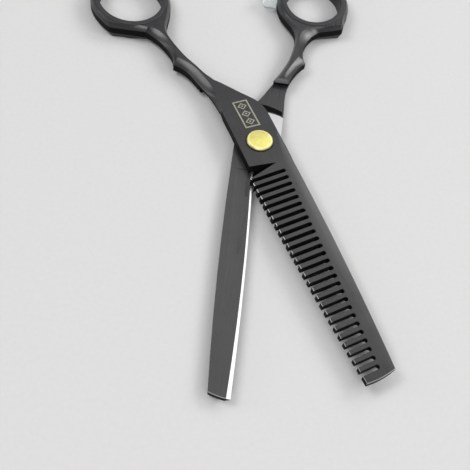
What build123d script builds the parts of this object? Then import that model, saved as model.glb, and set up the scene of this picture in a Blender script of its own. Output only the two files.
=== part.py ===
from build123d import *
import os
from math import asin, cos, degrees, radians, sin, sqrt

# Thinning shears, 6 inch, right handed, lying open on their underside.
# Millimetres. The Z axis is the pivot axis, +Z towards the gold head, and Z = 0 is the underside.
# The blades point to -Y and open evenly about that direction; the comb blade lies on the +X side.
# Each half is drawn with its blade along -Y and its cutting edge on the -X side. The plain half is
# then mirrored, and each half is turned by half of the opening.

# ---- driving dimensions ----------------------------------------------------------------------
HALF_OPENING = 14.8          # each blade's angle from -Y at rest, degrees
BLANK = 2.5                  # thickness of each half where they cross
FULL = 2 * BLANK             # thickness of shanks and rings
RIDE_GAP = 0.02              # oil film between the two inner faces
BEVEL_DEPTH = 1.5            # height of the broad bevels on shanks and rings
BEVEL_BULGE = (0.5, 0.62)    # half way in, the bevel has already gained this part of its height
FAR = 40.0                   # larger than any cut needs

BLADE_ROOT_Y = -8.0          # the blades keep their full thickness down to here
BLADE_END_Y = -72.0
TIP_THICK = 1.5              # thickness of each blade at its tip
BLOCK_Y = 12.0               # blade and handle outlines meet on this line
SHOULDER_Y = 21.3            # each shank starts to grow to its full thickness here
SHOULDER_RADIUS = 5.0

TOOTH_PITCH = 2.17
SLOT_COUNT = 27
SLOT_WIDTH = 1.12
FIRST_SLOT = 11.16           # first slot from the pivot, square to the slots
FIRST_ROOT = 1.70            # where the first slot's rounded end lies
ROOT_STEP = 0.252            # each next slot ends this much nearer the tooth tips
ROOT_BEND = 0.0014           # and this much more with the square of its number
SLOT_LENGTH = 14.0           # longer than any tooth
TOOTH_TILT = 4.65            # slots lean towards the blade's tip, degrees
TIP_BEVEL = 0.28             # small bevel along the tooth tips
COMB_TIPS = ((-7.2, -10.9), (-6.2, -40.7), (-4.88, -70.6))    # from the first tooth to the last
COMB_END = (COMB_TIPS[-1], (-1.2, -70.45), (2.95, -69.5))
COMB_SPINE = (COMB_END[-1], (5.02, -39.75), (5.95, -10.0))
COMB_SLOPE = (FULL - BLANK - RIDE_GAP - TIP_THICK) / (BLADE_ROOT_Y - BLADE_END_Y)

EDGE = ((0.45, -9.5), (-1.26, -40.5), (-2.0, -71.6))          # plain cutting edge, an arc
HONED = ((1.05, BLADE_ROOT_Y), (-0.72, -39.0), (-1.08, BLADE_END_Y))    # inner side of the honed strip
PLAIN_END = (EDGE[-1], (0.6, -71.25), (3.0, -70.6))
PLAIN_SPINE = (PLAIN_END[-1], (5.25, -40.0), (6.4, -9.2))
EDGE_THICK = 0.25            # plain cutting edge below the inner face
EDGE_BEVEL = 2.4             # width of the ground bevel on the plain blade's outer face
HOLLOW_RADIUS = 18.0         # hollow ground in the plain blade's inner face
HOLLOW_DEPTH = 0.12
CROWN_WIDTH = 2.95           # the comb blade's top rounds off towards its spine
CROWN_DEPTH = 0.28

RIDE_RADIUS = 13.4           # half-moon on which the halves ride, behind the pivot
GROOVE_DEPTH = 0.6           # relief groove behind it
PLATE_RADIUS = 16.6          # the groove's far side, about a centre nearer the inner side of the shank
PLATE_OFFSET = 2.6
PLATE_DROP = 0.3             # the flat behind the groove lies lower than the half-moon

# pivot stack
HEAD_RADIUS = 3.5
HEAD_THICK = 1.5
HEAD_SEAT_RADIUS = 3.7
HEAD_SEAT_Z = 4.2
HEAD_WASHER_THICK = 0.25
NECK_RADIUS = 2.0
NECK_FLAT = 1.65             # flat on the neck, from the axis, that keys it to the comb half
NECK_END_Z = 1.65
KEY_GAP = 0.03
TURN_GAP = 0.05
THREAD_RADIUS = 1.25
THREAD_PITCH = 0.3
THREAD_DEPTH = 0.15
THREAD_END_Z = 0.4
BUSHING_RADIUS = 2.6
NUT_SEAT_RADIUS = 4.1
NUT_SEAT_Z = 1.45
NUT_RADIUS = 3.9
NUT_FLANGE = 0.9
NUT_COLLAR_RADIUS = 1.95
NUT_COLLAR_Z = 1.6
NUT_BORE_Z = 0.35
KEY_HOLE_RADIUS = 0.55
KEY_HOLE_DEPTH = 0.5
KEY_HOLE_OFFSET = 2.5
THRUST_WASHER_THICK = 0.2
SPRING_THICK = 0.13
SPRING_INNER = 2.15
SPRING_OUTER = 3.7

# Rings: centre, then half-widths across and along of the outer edge, the hole and the liner's mouth.
FINGER_RING = {"centre": (-14.6, 65.6), "outer": (11.9, 14.2), "hole": (10.1, 12.3), "mouth": (9.4, 11.2)}
THUMB_RING = {"centre": (-10.1, 61.6), "outer": (11.2, 13.2), "hole": (9.4, 11.3), "mouth": (8.5, 10.3)}
RING_ARC_START = -25.0       # the ring's outer ellipse runs round the far end from here
RING_ARC_SIZE = 220.0
RING_BEVEL = 0.9
LIP_REACH = 0.6              # a liner's lips sit in rebates of this width
LIP_THICK = 0.5
LINER_PROUD = 0.25           # the upper lip stands above the ring
LINER_ROUND = 0.25

BUMPER_RADIUS = 2.2
BUMPER_LENGTH = 4.9
BUMPER_DOME = 1.4
BUMPER_STEM_RADIUS = 1.1
BUMPER_STEM_LENGTH = 1.3

REST_PLACE = 112.0           # angle round the finger ring where the finger rest stands
REST_BOSS_RADIUS = 2.3
REST_BOSS_PROUD = 0.9
REST_THREAD_RADIUS = 1.2
REST_THREAD_LENGTH = 2.0
REST_ROOT_RADIUS = 1.7
REST_TIP_RADIUS = 1.25
REST_COLLAR = 1.0
REST_BEND_RADIUS = 14.0
REST_BEND = 70.0             # degrees that the rest curls outwards

# Outlines of the handles. Each pair is a point on the outer edge, low on the side wall, and the
# point above it on the brow of the bevel. Where the two agree there is no bevel.
# front: from the block along the outer side of the shank to the knuckle
# scoop: from the knuckle to the flat front edge of the ring
# flat_end, corner: the two ends of the ring's blunt corner
# back: from the ring down the inner side of the shank
# block: from the shank to the block's straight base line
FINGER_HANDLE = {
    "ring": FINGER_RING,
    "front": [
        ((-5.6, 12.0), (-5.6, 12.0)), ((-5.6, 15.6), (-5.1, 15.6)), ((-5.9, 19.4), (-4.7, 19.5)),
        ((-6.55, 22.6), (-4.7, 22.7)), ((-7.5, 26.4), (-5.2, 26.2)), ((-8.35, 30.2), (-6.05, 29.9)),
        ((-10.2, 34.1), (-8.0, 34.3)), ((-11.5, 35.5), (-9.8, 36.6)),
    ],
    "scoop": [
        ((-11.5, 35.5), (-9.8, 36.6)), ((-10.75, 37.9), (-9.65, 38.6)), ((-10.95, 41.6), (-9.75, 42.2)),
        ((-12.1, 46.0), (-10.4, 46.9)), ((-14.6, 51.0), (-13.6, 51.6)),
    ],
    "flat_end": ((-23.6, 55.8), (-23.2, 56.1)),
    "corner": ((-24.3, 56.5), (-23.7, 56.9)),
    "back": [
        ((-6.9, 53.4), (-7.7, 53.2)), ((-8.5, 49.8), (-9.2, 49.8)), ((-8.7, 46.4), (-9.4, 46.4)),
        ((-8.2, 42.6), (-8.9, 42.7)), ((-7.5, 39.0), (-8.2, 39.2)), ((-6.6, 35.4), (-7.3, 35.7)),
        ((-5.3, 31.6), (-5.9, 31.9)), ((-4.2, 28.0), (-4.65, 28.1)), ((-3.3, 25.4), (-3.4, 25.4)),
    ],
    "block": [
        ((-3.3, 25.4), (-3.4, 25.4)), ((-0.6, 21.9), (-0.6, 21.9)), ((2.4, 17.8), (2.4, 17.8)),
        ((4.95, 14.4), (4.95, 14.4)), ((5.9, 12.0), (5.9, 12.0)),
    ],
}
THUMB_HANDLE = {
    "ring": THUMB_RING,
    "front": [
        ((-5.5, 12.0), (-5.5, 12.0)), ((-5.3, 18.0), (-5.15, 18.0)), ((-5.35, 22.6), (-4.5, 22.7)),
        ((-6.0, 26.4), (-4.35, 26.2)), ((-7.4, 30.2), (-5.4, 29.9)), ((-8.9, 33.0), (-6.8, 33.4)),
        ((-9.85, 34.2), (-7.6, 35.3)),
    ],
    "scoop": [
        ((-9.85, 34.2), (-7.6, 35.3)), ((-8.95, 37.0), (-7.2, 38.0)), ((-8.95, 41.0), (-7.1, 41.8)),
        ((-10.3, 45.4), (-7.8, 46.4)), ((-13.2, 49.0), (-11.6, 49.4)),
    ],
    "flat_end": ((-19.5, 51.8), (-19.2, 52.1)),
    "corner": ((-20.1, 52.5), (-19.5, 52.9)),
    "back": [
        ((-2.0, 52.4), (-2.9, 52.5)), ((-4.6, 48.9), (-5.4, 49.0)), ((-5.9, 45.4), (-6.55, 45.4)),
        ((-5.95, 41.6), (-6.5, 41.6)), ((-5.5, 37.6), (-6.1, 37.6)), ((-4.7, 33.8), (-5.4, 33.7)),
        ((-3.6, 30.4), (-4.75, 29.9)), ((-2.45, 27.4), (-4.0, 26.8)),
    ],
    "block": [
        ((-2.45, 27.4), (-4.0, 26.8)), ((-0.2, 22.4), (-1.9, 21.8)), ((1.93, 17.8), (1.2, 17.4)),
        ((4.35, 14.2), (4.35, 14.2)), ((5.6, 12.0), (5.6, 12.0)),
    ],
}


# ---- small helpers ---------------------------------------------------------------------------
def upright(face, z_low, z_high):
    """Extrude a flat face between two heights."""
    return Pos(0, 0, z_low) * extrude(face, amount=z_high - z_low)


def disc(radius, x=0.0, y=0.0):
    """Flat round face."""
    return Pos(x, y) * Circle(radius)


def ring_face(ring, name, grow=0.0):
    """Flat elliptical face on one of a ring's ellipses."""
    across, along = ring[name]
    return Pos(*ring["centre"]) * Ellipse(across + grow, along + grow)


def spun(points):
    """Solid turned about the pivot axis from an outline of (radius, height) points."""
    outline = Polyline(*[(r, 0, z) for r, z in points], close=True)
    return revolve(make_face(outline), axis=Axis.Z)


def along_blade(points):
    """Wide solid whose outline is drawn in the YZ plane."""
    outline = Polyline(*[(0, y, z) for y, z in points], close=True)
    return extrude(make_face(outline), amount=FAR, dir=(1, 0, 0), both=True)


def along_line(start, end, section):
    """Carry a flat section along a line; it is drawn as (distance to the line's left, height)."""
    way = Vector(*end) - Vector(*start)
    left = Vector(-way.Y, way.X, 0)
    return extrude(Plane(origin=start, x_dir=left, z_dir=way) * section, amount=way.length, dir=way)


def along_arc(points, z, section):
    """Carry a flat section along the arc through three points; it is drawn as (distance inwards, height)."""
    arc = ThreePointArc(*points)
    centre = arc.arc_center
    plane = Plane(origin=(*points[0], z), x_dir=centre - (arc @ 0), z_dir=arc % 0)
    turn = 2 * degrees(asin(((arc @ 1) - (arc @ 0)).length / 2 / arc.radius))
    return revolve(plane * section, axis=Axis(centre, (0, 0, 1)), revolution_arc=turn)


# ---- handles ---------------------------------------------------------------------------------
def handle_outline(handle, inset):
    """Closed outline of a shank and its ring, from the outer edge (0) to the bevel's brow (1)."""
    def between(pair):
        foot, brow = pair
        return (foot[0] + (brow[0] - foot[0]) * inset, foot[1] + (brow[1] - foot[1]) * inset)

    front, scoop, back, block = ([between(pair) for pair in handle[part]]
                                 for part in ("front", "scoop", "back", "block"))
    flat_end = between(handle["flat_end"])
    corner = between(handle["corner"])
    across, along = (half - RING_BEVEL * inset for half in handle["ring"]["outer"])
    ring = EllipticalCenterArc(handle["ring"]["centre"], across, along, RING_ARC_START,
                               arc_size=RING_ARC_SIZE)
    inner_side = Spline(ring @ 0, *back, tangents=(-(ring % 0), Vector(0.35, -1)))
    rise = TangentArc(ring @ 1, corner, tangent=ring % 1)
    return make_face([Line(block[-1], front[0]), Spline(*front), Spline(*scoop), Line(scoop[-1], flat_end),
                      Line(flat_end, corner), rise, ring, inner_side, Spline(*block)])


def bevelled_handle(handle):
    """Shank and ring at full thickness, bevelled above and below, with rebates for the liner."""
    steps = ((0.0, 0.0), BEVEL_BULGE, (1.0, 1.0))
    outlines = [handle_outline(handle, inset) for inset, rise in steps]
    rises = [rise * BEVEL_DEPTH for inset, rise in steps]
    core = upright(outlines[0], BEVEL_DEPTH, FULL - BEVEL_DEPTH)
    upper = loft([Pos(0, 0, FULL - BEVEL_DEPTH + rise) * outline for outline, rise in zip(outlines, rises)])
    lower = loft([Pos(0, 0, BEVEL_DEPTH - rise) * outline for outline, rise in zip(outlines, rises)])
    return core + upper + lower


def ring_opening(ring):
    """The hole through a ring, with a rebate at each face for the liner's lips."""
    lip = ring_face(ring, "hole", LIP_REACH)
    return (upright(ring_face(ring, "hole"), -1, FULL + 1) + upright(lip, -1, LIP_THICK)
            + upright(lip, FULL - LIP_THICK, FULL + 1))


def shoulder_cut(face_z, away):
    """Room for the other half: all beyond the inner face, ending in a scoop across the shank."""
    beyond = face_z + away * FAR
    plate_z = face_z - away * PLATE_DROP
    room = along_blade([(-2 * FAR, face_z), (SHOULDER_Y, face_z), (SHOULDER_Y, beyond), (-2 * FAR, beyond)])
    scoop = Pos(0, SHOULDER_Y, plate_z + away * SHOULDER_RADIUS) * Rot(0, 90, 0) * Cylinder(
        SHOULDER_RADIUS, 2 * FAR)
    return room + scoop


def ride_relief(face_z, away):
    """Groove behind the half-moon and the lowered flat behind the groove, as far as the shoulder."""
    above = face_z + away
    floor = face_z - away * GROOVE_DEPTH
    plate_z = face_z - away * PLATE_DROP
    beyond_moon = spun([(RIDE_RADIUS, face_z), (RIDE_RADIUS + 2 * GROOVE_DEPTH, floor), (FAR, floor),
                        (FAR, above), (RIDE_RADIUS, above)])
    groove_end = Pos(PLATE_OFFSET, 0, 0) * spun([(0, floor), (PLATE_RADIUS - GROOVE_DEPTH, floor),
                                                 (PLATE_RADIUS, plate_z), (PLATE_RADIUS, above), (0, above)])
    plate = spun([(RIDE_RADIUS, face_z), (RIDE_RADIUS + PLATE_DROP, plate_z), (FAR, plate_z), (FAR, above),
                  (RIDE_RADIUS, above)])
    length = SHOULDER_Y - BLOCK_Y / 3
    up_to_shoulder = Pos(0, (BLOCK_Y + SHOULDER_Y) / 2, BLANK) * Box(2 * FAR, length, 2 * FULL)
    return ((beyond_moon & groove_end) + plate) & up_to_shoulder


# ---- comb half -------------------------------------------------------------------------------
def comb_blade_outline():
    """Outline of the comb blade and the block round the pivot."""
    block_left = FINGER_HANDLE["front"][0][0]
    block_right = FINGER_HANDLE["block"][-1][0]
    wall_bend = (-5.64, 7.0)
    wall_end = (-5.97, -7.13)
    notch_end = (1.35, -7.99)
    return make_face([
        Line(block_right, block_left), Line(block_left, wall_bend), Line(wall_bend, wall_end),
        Line(wall_end, notch_end), Line(notch_end, COMB_TIPS[0]),
        ThreePointArc(*COMB_TIPS), ThreePointArc(*COMB_END), ThreePointArc(*COMB_SPINE),
        Spline(COMB_SPINE[-1], (6.15, -2.0), (6.2, 4.0), (6.3, 8.5), block_right,
               tangents=(Vector(0.01, 1), Vector(-0.4, 1)))])


def comb_top(y):
    """Height of the comb blade's top at a distance along it."""
    return FULL + COMB_SLOPE * (y - BLADE_ROOT_Y)


def on_comb_top(shape):
    """Tilt a shape drawn at height 0 so that it lies along the comb blade's sloping top."""
    return Pos(0, BLADE_ROOT_Y, FULL) * Rot(degrees(COMB_SLOPE), 0, 0) * Pos(0, -BLADE_ROOT_Y, 0) * shape


def tip_bevel():
    """What is ground off the upper corners of the tooth tips."""
    tips = ThreePointArc(*COMB_TIPS)
    corner = Polyline((-1, -TIP_BEVEL - 1), (TIP_BEVEL + 1, 1), (-1, 1), close=True)
    return on_comb_top(along_arc((tips @ -0.01, tips @ 0.5, tips @ 1.01), 0, make_face(corner)))


def spine_crown():
    """What is rounded off the comb blade's top towards its spine; it runs out on the block."""
    width, depth = CROWN_WIDTH, CROWN_DEPTH
    curve = ThreePointArc((width, 0), (width / 2, -0.3 * depth), (-0.33 * width, -1.7 * depth))
    section = make_face([curve, Line(curve @ 1, (-0.33 * width, 2)), Line((-0.33 * width, 2), (width, 2)),
                         Line((width, 2), (width, 0))])
    chord = Line(COMB_SPINE[0], COMB_SPINE[-1])
    return on_comb_top(along_line(chord @ -0.05, chord @ 1.4, section))


def comb_slots():
    """All slots between the teeth, as one face with rounded inner ends."""
    slots = Sketch()
    for i in range(SLOT_COUNT):
        root = FIRST_ROOT - ROOT_STEP * i - ROOT_BEND * i**2 - SLOT_WIDTH / 2
        row = -(FIRST_SLOT + TOOTH_PITCH * i)
        slots += Pos(root - SLOT_LENGTH / 2, row) * Rectangle(SLOT_LENGTH, SLOT_WIDTH)
        slots += disc(SLOT_WIDTH / 2, root, row)
    return Rot(0, 0, TOOTH_TILT) * slots


def toothed_half():
    """Comb blade, shank and finger ring."""
    face_z = BLANK + RIDE_GAP
    comb = upright(comb_blade_outline() - comb_slots(), face_z, FULL)
    comb -= along_blade([(BLADE_ROOT_Y, FULL), (BLADE_END_Y, comb_top(BLADE_END_Y)), (BLADE_END_Y, FULL + 1),
                         (BLADE_ROOT_Y, FULL + 1)])
    comb -= tip_bevel()
    comb -= spine_crown()
    handle = bevelled_handle(FINGER_HANDLE) - shoulder_cut(face_z, -1)
    half = comb + handle + rest_boss()
    half -= ring_opening(FINGER_RING)
    half -= ride_relief(face_z, -1)
    half -= upright(disc(HEAD_SEAT_RADIUS), HEAD_SEAT_Z, FULL + 1)
    half -= upright(keyed_face(KEY_GAP), 0, FULL)
    half -= rest_bore()
    return half


# ---- plain half ------------------------------------------------------------------------------
def plain_blade_outline():
    """Outline of the plain blade and the block round the pivot, cutting edge on the -X side."""
    block_left = THUMB_HANDLE["front"][0][0]
    block_right = THUMB_HANDLE["block"][-1][0]
    heel = (-5.5, 0.5)
    return make_face([
        Line(block_right, block_left), Line(block_left, heel),
        Spline(heel, (-4.0, -4.6), (-0.9, -7.4), EDGE[0], tangents=(Vector(0, -1), Vector(-0.047, -1))),
        ThreePointArc(*EDGE), ThreePointArc(*PLAIN_END), ThreePointArc(*PLAIN_SPINE),
        Spline(PLAIN_SPINE[-1], (6.6, 2.5), block_right, tangents=(Vector(0.02, 1), Vector(-0.3, 1)))])


def hollow_grind():
    """Long shallow hollow in the plain blade's inner face, leaving the honed strip at the edge."""
    half_width = sqrt(2 * HOLLOW_RADIUS * HOLLOW_DEPTH)
    return along_arc(HONED, BLANK, Pos(half_width, HOLLOW_RADIUS - HOLLOW_DEPTH) * Circle(HOLLOW_RADIUS))


def plain_half():
    """Plain blade, shank and thumb ring."""
    blade = upright(plain_blade_outline(), 0, BLANK)
    blade -= along_blade([(BLADE_ROOT_Y, 0), (BLADE_END_Y, BLANK - TIP_THICK), (BLADE_END_Y, -1),
                          (BLADE_ROOT_Y, -1)])
    below = -BLANK - 0.1
    ground = Polyline((-2, -EDGE_THICK), (0, -EDGE_THICK), (EDGE_BEVEL, below), (-2, below), close=True)
    blade -= along_arc(EDGE, BLANK, make_face(ground))
    blade -= hollow_grind()
    handle = bevelled_handle(THUMB_HANDLE) - shoulder_cut(BLANK, 1)
    half = blade + handle
    half -= ring_opening(THUMB_RING)
    half -= ride_relief(BLANK, 1)
    half -= upright(disc(NUT_SEAT_RADIUS), -1, NUT_SEAT_Z)
    half -= upright(disc(BUSHING_RADIUS), 0, BLANK + 1)
    half -= bumper_bore()
    return half


# ---- pivot -----------------------------------------------------------------------------------
def keyed_face(gap=0.0):
    """Round face with one flat."""
    flat = NECK_FLAT + gap
    return disc(NECK_RADIUS + gap) - Pos(flat + FAR / 2, 0) * Rectangle(FAR, FAR)


def pivot_screw():
    """Domed gold head, keyed neck, round journal and threaded end."""
    seat = HEAD_SEAT_Z + HEAD_WASHER_THICK
    top = seat + HEAD_THICK
    rim = 0.25
    side = [Line((0, seat), (HEAD_RADIUS, seat)), Line((HEAD_RADIUS, seat), (HEAD_RADIUS, top - 2 * rim)),
            Line((HEAD_RADIUS, top - 2 * rim), (HEAD_RADIUS - rim, top - 0.6 * rim)),
            TangentArc((0, top), (HEAD_RADIUS - rim, top - 0.6 * rim), tangent=(1, 0)),
            Line((0, top), (0, seat))]
    head = revolve(Plane.XZ * make_face(side), axis=Axis.Z)
    neck = upright(keyed_face(), BLANK, seat)
    journal = upright(disc(NECK_RADIUS), NECK_END_Z, BLANK)
    turns = int((NECK_END_Z - THREAD_END_Z) / THREAD_PITCH)
    thread = [(0, THREAD_END_Z)]
    for i in range(turns):
        thread.append((THREAD_RADIUS - THREAD_DEPTH, THREAD_END_Z + i * THREAD_PITCH))
        thread.append((THREAD_RADIUS, THREAD_END_Z + (i + 0.5) * THREAD_PITCH))
    thread += [(THREAD_RADIUS - THREAD_DEPTH, NECK_END_Z), (0, NECK_END_Z)]
    return head + neck + journal + spun(thread)


def head_washer():
    """Nylon washer under the screw's head."""
    return upright(disc(HEAD_RADIUS) - disc(NECK_RADIUS + TURN_GAP), HEAD_SEAT_Z,
                   HEAD_SEAT_Z + HEAD_WASHER_THICK)


def pivot_bushing():
    """Nylon sleeve on which the plain half turns."""
    return upright(disc(BUSHING_RADIUS) - disc(NECK_RADIUS + TURN_GAP), NUT_SEAT_Z, BLANK)


def thrust_washer():
    """Nylon washer against the floor of the nut's seat."""
    return upright(disc(NUT_RADIUS) - disc(SPRING_INNER), NUT_SEAT_Z - THRUST_WASHER_THICK, NUT_SEAT_Z)


def spring_washer():
    """Dished spring washer: its inner rim presses up, its outer rim rests on the nut."""
    high = NUT_SEAT_Z - THRUST_WASHER_THICK
    return spun([(SPRING_INNER, high - SPRING_THICK), (SPRING_INNER, high),
                 (SPRING_OUTER, NUT_FLANGE + SPRING_THICK), (SPRING_OUTER, NUT_FLANGE)])


def tension_nut():
    """Flat closed nut with a collar, and two blind holes for its key."""
    rim = 0.2
    nut = spun([(0, 0), (NUT_RADIUS - rim, 0), (NUT_RADIUS, rim), (NUT_RADIUS, NUT_FLANGE),
                (NUT_COLLAR_RADIUS, NUT_FLANGE), (NUT_COLLAR_RADIUS, NUT_COLLAR_Z), (0, NUT_COLLAR_Z)])
    nut -= upright(disc(THREAD_RADIUS + KEY_GAP), NUT_BORE_Z, NUT_COLLAR_Z + 1)
    for side in (-1, 1):
        nut -= upright(disc(KEY_HOLE_RADIUS, side * KEY_HOLE_OFFSET), -1, KEY_HOLE_DEPTH)
    return nut


# ---- liners, bumper and finger rest ----------------------------------------------------------
def ring_liner(ring):
    """Soft liner: a sleeve with two lips that sit in the ring's rebates."""
    low = LINER_ROUND / 5
    lip = ring_face(ring, "hole", LIP_REACH)
    liner = upright(ring_face(ring, "hole"), low, FULL) + upright(lip, low, LIP_THICK)
    liner += upright(lip, FULL - LIP_THICK, FULL + LINER_PROUD)
    liner -= upright(ring_face(ring, "mouth"), -1, FULL + 1)
    ends = liner.faces().sort_by(Axis.Z)
    return fillet(ends[-1].edges() + ends[0].inner_wires()[0].edges(), LINER_ROUND)


def bumper_place():
    """Frame on the thumb ring's inner side, with Z pointing away from the ring."""
    x, y = THUMB_RING["centre"]
    return Pos(x + THUMB_RING["outer"][0], y, BLANK) * Rot(0, 90, 0)


def bumper_bore():
    """Blind hole for the bumper's stem."""
    depth = BUMPER_STEM_LENGTH + 0.1
    return bumper_place() * Pos(0, 0, -depth / 2) * Cylinder(BUMPER_STEM_RADIUS, depth + 0.0001)


def bumper():
    """Clear silicone stop with a pressed-in stem and a rounded nose."""
    nose = BUMPER_LENGTH
    side = [Line((0, -BUMPER_STEM_LENGTH), (BUMPER_STEM_RADIUS, -BUMPER_STEM_LENGTH)),
            Line((BUMPER_STEM_RADIUS, -BUMPER_STEM_LENGTH), (BUMPER_STEM_RADIUS, 0)),
            Line((BUMPER_STEM_RADIUS, 0), (BUMPER_RADIUS, 0)),
            Line((BUMPER_RADIUS, 0), (BUMPER_RADIUS, nose - BUMPER_DOME)),
            TangentArc((0, nose), (BUMPER_RADIUS, nose - BUMPER_DOME), tangent=(1, 0)),
            Line((0, nose), (0, -BUMPER_STEM_LENGTH))]
    return bumper_place() * revolve(Plane.XZ * make_face(side), axis=Axis.Z)


def rest_place():
    """Frame where the finger rest stands on the ring's boss, with Z pointing away from the ring."""
    across, along = FINGER_RING["outer"]
    c, s = cos(radians(REST_PLACE)), sin(radians(REST_PLACE))
    foot = Vector(FINGER_RING["centre"][0] + across * c, FINGER_RING["centre"][1] + along * s, BLANK)
    out = Vector(c / across, s / along, 0).normalized()
    return Plane(origin=foot + out * REST_BOSS_PROUD, x_dir=(0, 0, -1), z_dir=out)


def rest_boss():
    """Round boss on the far end of the finger ring."""
    length = REST_BOSS_PROUD + 1.9
    return rest_place() * Pos(0, 0, -length / 2) * Cylinder(REST_BOSS_RADIUS, length)


def rest_bore():
    """Tapped blind hole in the boss."""
    depth = REST_THREAD_LENGTH + 0.1
    return rest_place() * Pos(0, 0, -depth / 2) * Cylinder(REST_THREAD_RADIUS + KEY_GAP, depth + 0.0001)


def finger_rest():
    """Curled rest for the little finger, with a collar and a threaded end."""
    collar = Pos(0, 0, REST_COLLAR / 2) * Cylinder(REST_BOSS_RADIUS - 0.1, REST_COLLAR)
    collar = chamfer(collar.edges().group_by(Axis.Z)[-1], 0.3)
    stud = Pos(0, 0, -REST_THREAD_LENGTH / 2) * Cylinder(REST_THREAD_RADIUS, REST_THREAD_LENGTH)
    path = Pos(0, 0, REST_COLLAR) * (Plane.YZ * CenterArc(
        (REST_BEND_RADIUS, 0), REST_BEND_RADIUS, 180, -REST_BEND))
    root = Plane(origin=path @ 0, z_dir=path % 0) * Circle(REST_ROOT_RADIUS)
    tip = Plane(origin=path @ 1, z_dir=path % 1) * Circle(REST_TIP_RADIUS)
    curl = sweep([root, tip], path=path, multisection=True)
    ball = Pos(*(path @ 1)) * Sphere(REST_TIP_RADIUS)
    return rest_place() * (collar + stud + curl + ball)


# ---- assembly --------------------------------------------------------------------------------
def finger_side(shape):
    """Turn a piece of the comb half to where it lies at rest."""
    return Rot(0, 0, HALF_OPENING) * shape


def thumb_side(shape):
    """Mirror a piece of the plain half and turn it to where it lies at rest."""
    return Rot(0, 0, -HALF_OPENING) * mirror(shape, about=Plane.YZ)


NODES = {
    "toothed_half": finger_side(toothed_half()),
    "plain_half": thumb_side(plain_half()),
    "pivot_screw": finger_side(pivot_screw()),
    "head_washer": head_washer(),
    "pivot_bushing": pivot_bushing(),
    "thrust_washer": thrust_washer(),
    "spring_washer": spring_washer(),
    "tension_nut": tension_nut(),
    "finger_liner": finger_side(ring_liner(FINGER_RING)),
    "thumb_liner": thumb_side(ring_liner(THUMB_RING)),
    "bumper": thumb_side(bumper()),
    "finger_rest": finger_side(finger_rest()),
}

os.makedirs("parts", exist_ok=True)
for name, shape in NODES.items():
    export_step(shape, f"parts/{name}.step")
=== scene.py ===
from math import pi, radians
import bmesh
import bpy
from mathutils import Matrix, Vector


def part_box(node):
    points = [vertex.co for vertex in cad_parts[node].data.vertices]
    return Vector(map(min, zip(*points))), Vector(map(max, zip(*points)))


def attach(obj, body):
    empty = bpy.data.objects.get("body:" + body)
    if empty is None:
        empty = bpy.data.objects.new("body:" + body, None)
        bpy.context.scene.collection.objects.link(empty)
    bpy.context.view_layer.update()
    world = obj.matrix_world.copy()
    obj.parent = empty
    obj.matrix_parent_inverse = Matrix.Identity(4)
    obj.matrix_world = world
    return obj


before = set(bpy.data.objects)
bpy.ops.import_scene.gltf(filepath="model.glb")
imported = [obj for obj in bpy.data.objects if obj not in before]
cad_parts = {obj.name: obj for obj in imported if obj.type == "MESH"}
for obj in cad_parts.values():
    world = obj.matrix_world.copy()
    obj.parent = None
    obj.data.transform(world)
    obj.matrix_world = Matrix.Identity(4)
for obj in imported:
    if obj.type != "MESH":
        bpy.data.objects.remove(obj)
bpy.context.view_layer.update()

MM = 0.001
HALF_OPENING = radians(14.8)     # each blade's angle from -Y at rest

# Camera: place, aim and nearest visible distance in metres, roll about its own axis, focal length and
# sensor width in millimetres.
CAMERA_PLACE = (-0.03606, -0.12998, 0.15181)
CAMERA_AIM = (-0.00994, -0.02772, 0.0025)
CAMERA_NEAR = 0.005
CAMERA_ROLL = radians(8.51)
CAMERA_LENS = 57.45
CAMERA_SENSOR = 36.0

# Places on the two halves, in millimetres, in the frame in which each half is drawn: pivot axis at the
# origin, blade along -Y, cutting edge towards -X, underside of the shears at Z = 0.
INNER_Z = 2.5                    # inner face of the plain half
INNER_BELOW = 0.0012             # a point this little below that face still lies on it,
INNER_ABOVE = 0.01               # and so does one this little above it
COMB_INNER_REACH = 0.022         # the comb half's inner face lies within this height above INNER_Z
COMB_TOP_Z = 5.0
COMB_SLOPE = 0.0153              # the comb blade's top falls this much per millimetre towards its tip
BLADE_ROOT_Y = -8.0
STRIP_START_Y = -7.9             # the honed strip starts here and runs to the plain blade's end,
STRIP_SIDE_X = 2.0               # on the -X side of this line
RIDE_RADIUS = 13.4               # bare half-moon behind the pivot
MOON_START_Y = 1.0
GROOVE_DEPTHS = (0.32, 0.65)     # the groove behind the half-moon, below the inner face
GROOVE_SIDE_X = -5.1             # it leaves off short of one side of the shank,
GROOVE_SLANT = 0.633             # and of the slanted line x + slant * y = end on the other side
GROOVE_END = 12.9
TIP_GRIND = 0.19                 # bare bevel on the tooth tips
EDGE_HIGHLIGHT_WIDTH = 0.10                 # width of bare steel painted along sharp edges as a highlight
COMB_HIGHLIGHT_DEPTH = 0.5            # and how far down that painted highlight reaches, on each blade
PLAIN_HIGHLIGHT_DEPTH = 0.35
# Edges as a + b * u + c * u ** 2. For the comb's tooth tips and spine this is x, and u is y; for the two
# blades' ends it is y, and u is x.
TIP_CURVE = (-7.487, -0.02440, 0.0001774)
COMB_SPINE_CURVE = (6.007, -0.00078, -0.0006440)
COMB_END_CURVE = (-70.260, 0.18686, 0.0240300)
PLAIN_END_CURVE = (-71.363, 0.17276, 0.0272436)


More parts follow.
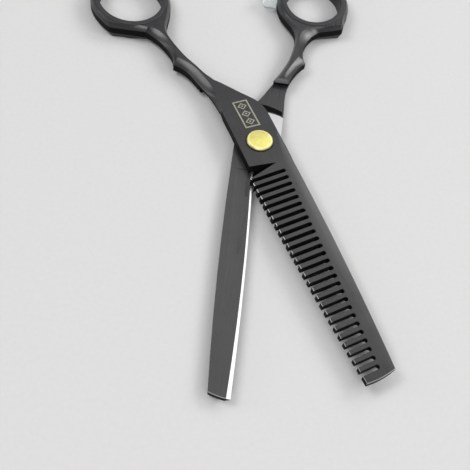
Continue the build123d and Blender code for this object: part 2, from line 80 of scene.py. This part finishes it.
# ---- node helpers ----------------------------------------------------------------------------
class Shader:
    """A material's node tree, with short ways to add nodes to it."""

    def __init__(self, name):
        self.material = bpy.data.materials.new(name)
        self.material.use_nodes = True
        self.tree = self.material.node_tree
        self.bsdf = self.tree.nodes["Principled BSDF"]
        coordinates = self.node("ShaderNodeTexCoord")
        self.place = coordinates.outputs["Object"]
        self.normal = coordinates.outputs["Normal"]

    def put(self, socket, value):
        """Link a socket to another, or give it a plain value."""
        if isinstance(value, bpy.types.NodeSocket):
            self.tree.links.new(value, socket)
        elif isinstance(value, tuple) and len(value) == 3 and socket.type == "RGBA":
            socket.default_value = (*value, 1.0)
        else:
            socket.default_value = value

    def node(self, kind, inputs=None, **settings):
        """Add a node with its settings and inputs."""
        node = self.tree.nodes.new(kind)
        for name, value in settings.items():
            setattr(node, name, value)
        for name, value in (inputs or {}).items():
            self.put(node.inputs[name], value)
        return node

    def math(self, operation, first, second=0.0, third=0.0, clamp=False):
        inputs = {0: first, 1: second, 2: third}
        return self.node("ShaderNodeMath", inputs, operation=operation, use_clamp=clamp).outputs[0]

    def below(self, value, limit):
        """1 where the value is below the limit, and 0 elsewhere."""
        return self.math("LESS_THAN", value, limit)

    def above(self, value, limit):
        """1 where the value is above the limit, and 0 elsewhere."""
        return self.math("GREATER_THAN", value, limit)

    def between(self, value, low, high):
        """1 where the value lies between two limits, and 0 elsewhere."""
        return self.product(self.above(value, low), self.below(value, high))

    def product(self, first, *others):
        """Product of all the values; of ones and zeros, 1 where all of them are 1."""
        for other in others:
            first = self.math("MULTIPLY", first, other)
        return first

    def weigh(self, first, second, share):
        """Sum of two values, in which the first has this share and the second the rest."""
        return self.math("ADD", self.product(first, share), self.product(second, 1 - share))

    def spread(self, value, low, high, to_low=0.0, to_high=1.0):
        """Map a value smoothly from one range to another."""
        inputs = {0: value, 1: low, 2: high, 3: to_low, 4: to_high}
        return self.node("ShaderNodeMapRange", inputs, interpolation_type="SMOOTHSTEP").outputs[0]

    def mix(self, factor, first, second):
        """Mix two colours."""
        inputs = {0: factor, 6: first, 7: second}
        return self.node("ShaderNodeMix", inputs, data_type="RGBA", clamp_factor=True).outputs[2]

    def blend(self, factor, first, second):
        """Mix two plain numbers."""
        inputs = {0: factor, 2: first, 3: second}
        return self.node("ShaderNodeMix", inputs, data_type="FLOAT", clamp_factor=True).outputs[0]

    def curve(self, along, curve, shift):
        """a + b * u + c * u ** 2, moved by a shift."""
        slope = self.math("MULTIPLY_ADD", along, curve[2], curve[1])
        return self.math("MULTIPLY_ADD", along, slope, curve[0] + shift)

    def turned(self, angle, scale):
        """Object coordinates turned about Z, then scaled."""
        turn = self.node("ShaderNodeMapping", {"Vector": self.place, "Rotation": (0, 0, angle)})
        return self.node("ShaderNodeMapping", {"Vector": turn.outputs[0], "Scale": scale}).outputs[0]

    def noise(self, where, scale, detail=3.0, rough=0.55):
        """Cloudy noise; on object coordinates, the scale counts its clouds per metre."""
        inputs = {"Vector": where, "Scale": scale, "Detail": detail, "Roughness": rough}
        return self.node("ShaderNodeTexNoise", inputs).outputs["Fac"]

    def bump(self, height, depth, strength):
        """Normal of a surface with this relief, its depth in millimetres."""
        inputs = {"Height": height, "Distance": depth * MM, "Strength": strength}
        return self.node("ShaderNodeBump", inputs).outputs[0]

    def surface(self, **values):
        """Set inputs of the surface shader; underscores stand for spaces."""
        for name, value in values.items():
            self.put(self.bsdf.inputs[name.replace("_", " ").title().replace("Ior", "IOR")], value)


def brushed(shader, angle, fine=9000.0, long=260.0):
    """Fine straight grain, with a few deeper lines in it; lines per metre across it and along it."""
    grain = shader.noise(shader.turned(angle, (fine, long, fine)), 1.0, 4.0, 0.6)
    lines = shader.noise(shader.turned(angle, (fine / 3, long / 5, fine / 3)), 1.0, 2.0, 0.5)
    return shader.weigh(grain, lines, 0.5)


def lathe_marks(shader, pitch):
    """Fine uneven rings about the pivot axis, their pitch in millimetres, and the radius in metres."""
    flat = shader.node("ShaderNodeVectorMath", {0: shader.place, 1: (1.0, 1.0, 0.0)}, operation="MULTIPLY")
    radius = shader.node("ShaderNodeVectorMath", {0: flat.outputs[0]}, operation="LENGTH").outputs["Value"]
    wobble = shader.noise(shader.place, 700.0, 2.0)
    turns = shader.math("MULTIPLY_ADD", radius, 2 * pi / (pitch * MM), wobble)
    return shader.math("MULTIPLY_ADD", shader.math("SINE", turns), 0.5, 0.5), radius


# ---- coating on the halves -------------------------------------------------------------------
# Shades are the darkest and the lightest colour of a material.
COATING_SHADES = ((0.0100, 0.0102, 0.0110), (0.0200, 0.0203, 0.0215))
COATING_SPECK = (0.09, 0.09, 0.095)
COATING_RELIEF = 0.004           # millimetres
PAINTED_RECESS_SHADE = (0.002, 0.002, 0.002)   # painted shade: near-black colour in the groove and on side walls, which are also made dull
SHADED_ROUGHNESS = 0.60
SHADED_SPECULAR = 0.05
WALL_FADE = (0.05, 0.22)         # a side wall's normal is level; past the second Z it is no wall any more
WALL_SHADE_SHARE = 0.92                # how much of the painted shade a side wall gets, where the groove gets all of it
STEEL_SHADES = ((0.774, 0.774, 0.783), (0.86, 0.86, 0.87))
MOON_STEEL = (0.62, 0.62, 0.63)  # the half-moon is duller than the honed strip
MOON_ROUGHNESS = 0.30
HONE_LINES = (14000.0, 900.0)    # per metre, across the lines and along them
GROUND_SHARE = 0.5               # how bare the tooth tips are, where bare steel is 1
EDGE_HIGHLIGHT_SHARE = 0.3                 # and how bare the painted edge highlights are


def coating(name, angle, masks=None, specular=0.62):
    """Black semi-gloss coating over brushed steel; the masks say where it is bare, dull or in painted shade.
    """
    shader = Shader(name)
    grain = brushed(shader, angle)
    clouds = shader.noise(shader.place, 90.0, 4.0, 0.6)
    specks = shader.spread(shader.noise(shader.place, 5200.0, 1.0), 0.70, 0.78)
    tone = shader.weigh(grain, clouds, 0.6)
    black = shader.mix(shader.spread(tone, 0.35, 0.65), *COATING_SHADES)
    black = shader.mix(shader.product(specks, 0.35), black, COATING_SPECK)
    rough = shader.spread(tone, 0.3, 0.7, 0.25, 0.37)
    relief = shader.math("ADD", grain, shader.product(specks, -0.5))
    if masks is None:
        shader.surface(base_color=black, roughness=rough, specular_ior_level=specular,
                       normal=shader.bump(relief, COATING_RELIEF, 0.6))
        return shader.material
    bare, dull, shade_mask = masks(shader)
    # Painted shade: steep side walls, found by their normal, join the masked groove in a near-black dull
    # colour.
    upright = shader.node("ShaderNodeSeparateXYZ", {0: shader.normal}).outputs["Z"]
    wall = shader.spread(shader.math("ABSOLUTE", upright), *WALL_FADE, WALL_SHADE_SHARE, 0.0)
    shade_mask = shader.math("MAXIMUM", shade_mask, wall)
    black = shader.mix(shade_mask, black, PAINTED_RECESS_SHADE)
    rough = shader.blend(shade_mask, rough, SHADED_ROUGHNESS)
    hone = brushed(shader, angle + radians(90), *HONE_LINES)
    steel = shader.mix(dull, shader.mix(hone, *STEEL_SHADES), MOON_STEEL)
    steel_rough = shader.blend(dull, shader.spread(hone, 0.3, 0.7, 0.22, 0.32), MOON_ROUGHNESS)
    shader.surface(base_color=shader.mix(bare, black, steel), metallic=bare,
                   roughness=shader.blend(bare, rough, steel_rough),
                   specular_ior_level=shader.blend(shade_mask, specular, SHADED_SPECULAR),
                   normal=shader.bump(relief, COATING_RELIEF, shader.blend(bare, 0.6, 0.03)))
    return shader.material


def half_axes(shader, side):
    """(x, y, z, radius) in millimetres in a half's own drawing frame: side 1 comb half, -1 plain half."""
    turned = shader.turned(-side * HALF_OPENING, (side / MM, 1 / MM, 1 / MM))
    x, y, z = shader.node("ShaderNodeSeparateXYZ", {0: turned}).outputs
    square = shader.math("ADD", shader.product(x, x), shader.product(y, y))
    return x, y, z, shader.math("SQRT", square)


def half_moon(shader, y, radius):
    """1 within the ride area behind the pivot."""
    return shader.product(shader.below(radius, RIDE_RADIUS), shader.above(y, MOON_START_Y))


def plain_bare(shader):
    """Honed strip on the plain blade's cutting edge, the half-moon, a painted highlight on its end and
    painted shade in the groove.
    """
    x, y, z, radius = half_axes(shader, -1)
    face = shader.between(z, INNER_Z - INNER_BELOW, INNER_Z + INNER_ABOVE)
    strip = shader.product(shader.below(x, STRIP_SIDE_X), shader.below(y, STRIP_START_Y))
    moon = half_moon(shader, y, radius)
    # Painted highlight: bare steel along the blade's end edge.
    end = shader.product(shader.below(y, shader.curve(x, PLAIN_END_CURVE, EDGE_HIGHLIGHT_WIDTH)),
                         shader.above(z, INNER_Z - PLAIN_HIGHLIGHT_DEPTH))
    bare = shader.product(face, shader.math("ADD", strip, moon, clamp=True))
    bare = shader.math("MAXIMUM", bare, shader.product(end, EDGE_HIGHLIGHT_SHARE))
    short_of_line = shader.below(shader.math("MULTIPLY_ADD", y, GROOVE_SLANT, x), GROOVE_END)
    groove = shader.product(shader.between(z, INNER_Z - GROOVE_DEPTHS[1], INNER_Z - GROOVE_DEPTHS[0]),
                            shader.above(x, GROOVE_SIDE_X), shader.above(y, RIDE_RADIUS / 2), short_of_line)
    return bare, moon, groove


def comb_bare(shader):
    """Ground tips of the teeth, bare steel painted along edges as highlights, and the half-moon on the inner
    face.
    """
    x, y, z, radius = half_axes(shader, 1)
    top = shader.math("MULTIPLY_ADD", shader.math("ADD", y, -BLADE_ROOT_Y), COMB_SLOPE, COMB_TOP_Z)
    ground = shader.product(shader.below(x, shader.curve(y, TIP_CURVE, TIP_GRIND)),
                            shader.above(z, shader.math("ADD", top, -TIP_GRIND)))
    # Painted highlight: bare steel along the spine and end edges.
    spine = shader.above(x, shader.curve(y, COMB_SPINE_CURVE, -EDGE_HIGHLIGHT_WIDTH))
    end = shader.below(y, shader.curve(x, COMB_END_CURVE, EDGE_HIGHLIGHT_WIDTH))
    edge_highlight = shader.product(shader.math("MAXIMUM", spine, end),
                          shader.above(z, shader.math("ADD", top, -COMB_HIGHLIGHT_DEPTH)))
    bright = shader.math("MAXIMUM", shader.product(ground, GROUND_SHARE), shader.product(edge_highlight, EDGE_HIGHLIGHT_SHARE))
    bright = shader.product(bright, shader.below(y, BLADE_ROOT_Y))
    face = shader.between(z, INNER_Z, INNER_Z + COMB_INNER_REACH)
    moon = shader.product(face, half_moon(shader, y, radius))
    return shader.math("ADD", bright, moon, clamp=True), moon, 0.0


# ---- other materials -------------------------------------------------------------------------
GOLD_SHADES = ((0.61, 0.53, 0.12), (0.78, 0.73, 0.28))
GOLD_HIGHLIGHT = (0.88, 0.85, 0.52)
GOLD_RIM_SHADE = (0.42, 0.36, 0.18)
HIGHLIGHT_RADII = (2.7, 3.1)          # millimetres, over which a painted highlight makes the gold head paler
RIM_SHADE_RADII = (3.30, 3.48)         # and over which painted shade makes it darker again
RUBBER_SHADES = ((0.012, 0.012, 0.013), (0.024, 0.024, 0.026))
SILICONE_TINT = (0.93, 0.96, 0.97)
SILICONE_IOR = 1.41
NYLON_SHADES = ((0.02, 0.02, 0.02), (0.045, 0.045, 0.047))
SPRING_SHADES = ((0.42, 0.43, 0.45), (0.62, 0.63, 0.65))
NUT_SHADES = ((0.012, 0.012, 0.013), (0.03, 0.03, 0.032))
ETCHED_SHADES = ((0.14, 0.135, 0.10), (0.36, 0.345, 0.27))
FLOOR_SHADES = ((0.44, 0.44, 0.436), (0.48, 0.48, 0.476))


def gold():
    """Satin gold plating with turning marks, a painted highlight towards its edge and painted shade on its
    rim.
    """
    shader = Shader("gold_plate")
    rings, radius = lathe_marks(shader, 0.16)
    blotches = shader.noise(shader.place, 900.0, 5.0, 0.65)
    tone = shader.weigh(rings, blotches, 0.35)
    # Painted highlight on a band towards the edge, and painted shade on the rim.
    pale, rim = (shader.spread(radius, low * MM, high * MM) for low, high in (HIGHLIGHT_RADII, RIM_SHADE_RADII))
    colour = shader.mix(shader.spread(tone, 0.3, 0.7), *GOLD_SHADES)
    colour = shader.mix(shader.product(pale, 0.55), colour, GOLD_HIGHLIGHT)
    colour = shader.mix(shader.product(rim, 0.6), colour, GOLD_RIM_SHADE)
    shader.surface(base_color=colour, metallic=1.0, roughness=shader.spread(tone, 0.3, 0.7, 0.38, 0.50),
                   normal=shader.bump(tone, 0.006, 0.5))
    return shader.material


def rubber():
    """Satin black silicone rubber with a fine moulded grain."""
    shader = Shader("soft_liner")
    grain = shader.noise(shader.place, 6500.0)
    clouds = shader.noise(shader.place, 220.0)
    shader.surface(base_color=shader.mix(clouds, *RUBBER_SHADES), specular_ior_level=0.38,
                   roughness=shader.spread(grain, 0.3, 0.7, 0.42, 0.58),
                   normal=shader.bump(grain, 0.012, 0.5))
    return shader.material


def silicone():
    """Clear soft silicone, faintly uneven."""
    shader = Shader("clear_silicone")
    waves = shader.noise(shader.place, 800.0)
    milk = shader.noise(shader.place, 300.0, 2.0)
    shader.surface(base_color=SILICONE_TINT, ior=SILICONE_IOR,
                   transmission_weight=shader.spread(milk, 0.3, 0.7, 0.90, 0.97),
                   roughness=shader.spread(waves, 0.3, 0.7, 0.04, 0.12),
                   normal=shader.bump(waves, 0.03, 0.4))
    return shader.material


def nylon():
    """Black moulded nylon."""
    shader = Shader("nylon")
    grain = shader.noise(shader.place, 5000.0)
    shader.surface(base_color=shader.mix(grain, *NYLON_SHADES),
                   roughness=shader.spread(grain, 0.3, 0.7, 0.40, 0.55),
                   normal=shader.bump(grain, 0.01, 0.4))
    return shader.material


def turned_metal(name, shades, metallic, pitch, roughness):
    """Metal or coated metal with rings left by turning, their pitch in millimetres."""
    shader = Shader(name)
    rings, _ = lathe_marks(shader, pitch)
    clouds = shader.noise(shader.place, 1200.0, 4.0)
    tone = shader.weigh(rings, clouds, 0.5)
    shader.surface(base_color=shader.mix(tone, *shades), metallic=metallic,
                   roughness=shader.spread(tone, 0.2, 0.8, roughness - 0.06, roughness + 0.08),
                   normal=shader.bump(rings, 0.005, 0.6))
    return shader.material


def etched():
    """Pale gold-grey laser mark: fine raster across a dulled surface."""
    shader = Shader("etched_mark")
    raster = shader.noise(shader.turned(-HALF_OPENING, (600.0, 16000.0, 600.0)), 1.0, 2.0)
    blotches = shader.noise(shader.place, 2500.0, 4.0)
    tone = shader.weigh(raster, blotches, 0.5)
    shader.surface(base_color=shader.mix(tone, *ETCHED_SHADES), metallic=0.35,
                   roughness=shader.spread(tone, 0.3, 0.7, 0.45, 0.62),
                   normal=shader.bump(raster, 0.006, 0.5))
    return shader.material


def pale_floor():
    """Plain pale matt floor."""
    shader = Shader("pale_floor")
    grain = shader.noise(shader.place, 900.0, 4.0)
    shader.surface(base_color=shader.mix(grain, *FLOOR_SHADES), roughness=0.75, specular_ior_level=0.2)
    return shader.material


def dress(node, material):
    """Give a CAD node its material."""
    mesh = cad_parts[node].data
    mesh.materials.clear()
    mesh.materials.append(material)


# ---- ornament on the block -------------------------------------------------------------------
# Millimetres, in the frame in which the comb half is drawn. Sizes are half-widths and half-lengths.
ORNAMENT_CENTRE = (0.45, 10.35)
ORNAMENT_SIZE = (2.15, 4.95)
ORNAMENT_LINE = 0.40             # width of the frame's line
ORNAMENT_HEIGHTS = (-0.02, 0.015)    # from just below the block's top to just above it
LOZENGE_ROWS = (-2.9, 0, 2.9)
LOZENGE_SIZE = (1.35, 1.2)
LOZENGE_HOLE = (0.93, 0.82)
LOZENGE_DOT = (0.36, 0.32)


def rectangle(half_width, half_length):
    return [(-half_width, -half_length), (half_width, -half_length), (half_width, half_length),
            (-half_width, half_length)]


def lozenge(size, y):
    half_width, half_length = size
    return [(0, y - half_length), (half_width, y), (0, y + half_length), (-half_width, y)]


def loops(mesh, *outlines):
    """Corners of each outline, anticlockwise, first at the lower and then at the upper height."""
    return [[mesh.verts.new((x, y, z)) for x, y in outline] for outline in outlines for z in ORNAMENT_HEIGHTS]


def plate(mesh, outline):
    """Add a flat plate with this outline."""
    low, high = loops(mesh, outline)
    mesh.faces.new(high)
    mesh.faces.new(list(reversed(low)))
    for i in range(len(outline)):
        j = (i + 1) % len(outline)
        mesh.faces.new([low[i], low[j], high[j], high[i]])


def band(mesh, outer, inner):
    """Add a closed band between two outlines with the same number of corners."""
    outer_low, outer_high, inner_low, inner_high = loops(mesh, outer, inner)
    for i in range(len(outer)):
        j = (i + 1) % len(outer)
        mesh.faces.new([outer_low[i], outer_low[j], outer_high[j], outer_high[i]])
        mesh.faces.new([inner_low[j], inner_low[i], inner_high[i], inner_high[j]])
        mesh.faces.new([outer_high[i], outer_high[j], inner_high[j], inner_high[i]])
        mesh.faces.new([outer_low[j], outer_low[i], inner_low[i], inner_low[j]])


def ornament():
    """A row of lozenges in a thin frame, as a laser-etched mark."""
    mesh = bmesh.new()
    band(mesh, rectangle(*ORNAMENT_SIZE), rectangle(*(size - ORNAMENT_LINE for size in ORNAMENT_SIZE)))
    for y in LOZENGE_ROWS:
        band(mesh, lozenge(LOZENGE_SIZE, y), lozenge(LOZENGE_HOLE, y))
        plate(mesh, lozenge(LOZENGE_DOT, y))
    data = bpy.data.meshes.new("block_ornament")
    mesh.to_mesh(data)
    mesh.free()
    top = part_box("toothed_half")[1].z
    local = Matrix.Translation((ORNAMENT_CENTRE[0] * MM, ORNAMENT_CENTRE[1] * MM, 0)) @ Matrix.Scale(MM, 4)
    data.transform(Matrix.Translation((0, 0, top)) @ Matrix.Rotation(HALF_OPENING, 4, "Z") @ local)
    data.materials.append(etched())
    piece = bpy.data.objects.new("block_ornament", data)
    bpy.context.scene.collection.objects.link(piece)
    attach(piece, "comb_side")


# ---- stage, light and camera -----------------------------------------------------------------
FLOOR_REACH = 0.7                # metres from the pivot axis to each side of the floor
SKY = (0.92, 0.93, 0.95, 1.0)
SKY_AS_LIGHT = 0.30              # strength of the sky on the scene,
SKY_IN_VIEW = 0.85               # and as the camera sees it
# Softboxes aimed at the origin: place and size in metres, power in watts.
SOFTBOXES = {
    "back_box": ((0.10, 0.46, 0.88), (0.8, 0.6), 1.9),
    "left_box": ((-0.55, 0.22, 0.80), (0.45, 0.45), 5.0),
    "right_box": ((0.54, 0.62, 0.58), (0.25, 0.35), 1.5),
    "side_box": ((0.80, 0.24, 0.56), (0.36, 0.36), 3.6),
    "corner_box": ((0.70, -0.22, 0.64), (0.40, 0.36), 3.0),
    "front_box": ((0.20, -0.70, 0.64), (0.40, 0.30), 2.4),
    "brow_box": ((-0.34, -0.75, 0.56), (0.20, 0.20), 2.2),
    "low_box": ((-0.95, 0.25, 0.30), (0.4, 0.2), 1.0),
}


def floor():
    """Large pale floor under the shears."""
    low = min(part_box(node)[0].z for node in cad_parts)
    data = bpy.data.meshes.new("floor")
    corners = [(x, y, low) for x, y in rectangle(FLOOR_REACH, FLOOR_REACH)]
    data.from_pydata(corners, [], [(0, 1, 2, 3)])
    data.materials.append(pale_floor())
    piece = bpy.data.objects.new("floor", data)
    bpy.context.scene.collection.objects.link(piece)


def aimed(place, aim, roll=0.0):
    """Matrix at a place whose -Z points at the aim, with an optional roll."""
    turn = (Vector(place) - Vector(aim)).to_track_quat("Z", "Y").to_matrix().to_4x4()
    return Matrix.Translation(place) @ turn @ Matrix.Rotation(roll, 4, "Z")


def sky():
    """Even pale surroundings, brighter in the camera's view than as a light."""
    world = bpy.data.worlds.new("studio")
    world.use_nodes = True
    tree = world.node_tree
    background = tree.nodes["Background"]
    background.inputs["Color"].default_value = SKY
    path = tree.nodes.new("ShaderNodeLightPath")
    strength = tree.nodes.new("ShaderNodeMapRange")
    strength.inputs["To Min"].default_value = SKY_AS_LIGHT
    strength.inputs["To Max"].default_value = SKY_IN_VIEW
    tree.links.new(path.outputs["Is Camera Ray"], strength.inputs["Value"])
    tree.links.new(strength.outputs["Result"], background.inputs["Strength"])
    bpy.context.scene.world = world


def softboxes():
    """Soft rectangular lights, behind, at both sides and in front."""
    for name, (place, size, power) in SOFTBOXES.items():
        data = bpy.data.lights.new(name, "AREA")
        data.shape = "RECTANGLE"
        data.size, data.size_y = size
        data.energy = power
        lamp = bpy.data.objects.new(name, data)
        lamp.matrix_world = aimed(place, (0, 0, 0))
        bpy.context.scene.collection.objects.link(lamp)


def camera():
    """Camera at the viewing angle, with its roll."""
    data = bpy.data.cameras.new("camera")
    data.sensor_width = CAMERA_SENSOR
    data.lens = CAMERA_LENS
    data.clip_start = CAMERA_NEAR
    view = bpy.data.objects.new("camera", data)
    view.matrix_world = aimed(CAMERA_PLACE, CAMERA_AIM, CAMERA_ROLL)
    bpy.context.scene.collection.objects.link(view)
    bpy.context.scene.camera = view


COMB_COATING = coating("comb_half_coating", -HALF_OPENING, comb_bare, specular=0.46)
PLAIN_COATING = coating("plain_half_coating", HALF_OPENING, plain_bare)
NYLON = nylon()
RUBBER = rubber()

dress("toothed_half", COMB_COATING)
dress("plain_half", PLAIN_COATING)
dress("pivot_screw", gold())
dress("head_washer", NYLON)
dress("pivot_bushing", NYLON)
dress("thrust_washer", NYLON)
dress("spring_washer", turned_metal("spring_steel", SPRING_SHADES, metallic=1.0, pitch=0.25, roughness=0.3))
dress("tension_nut", turned_metal("nut_plate", NUT_SHADES, metallic=0.0, pitch=0.2, roughness=0.35))
dress("finger_liner", RUBBER)
dress("thumb_liner", RUBBER)
dress("bumper", silicone())
dress("finger_rest", coating("rest_coating", 0.0))

ornament()
floor()
sky()
softboxes()
camera()
bpy.context.scene.view_settings.view_transform = "Standard"
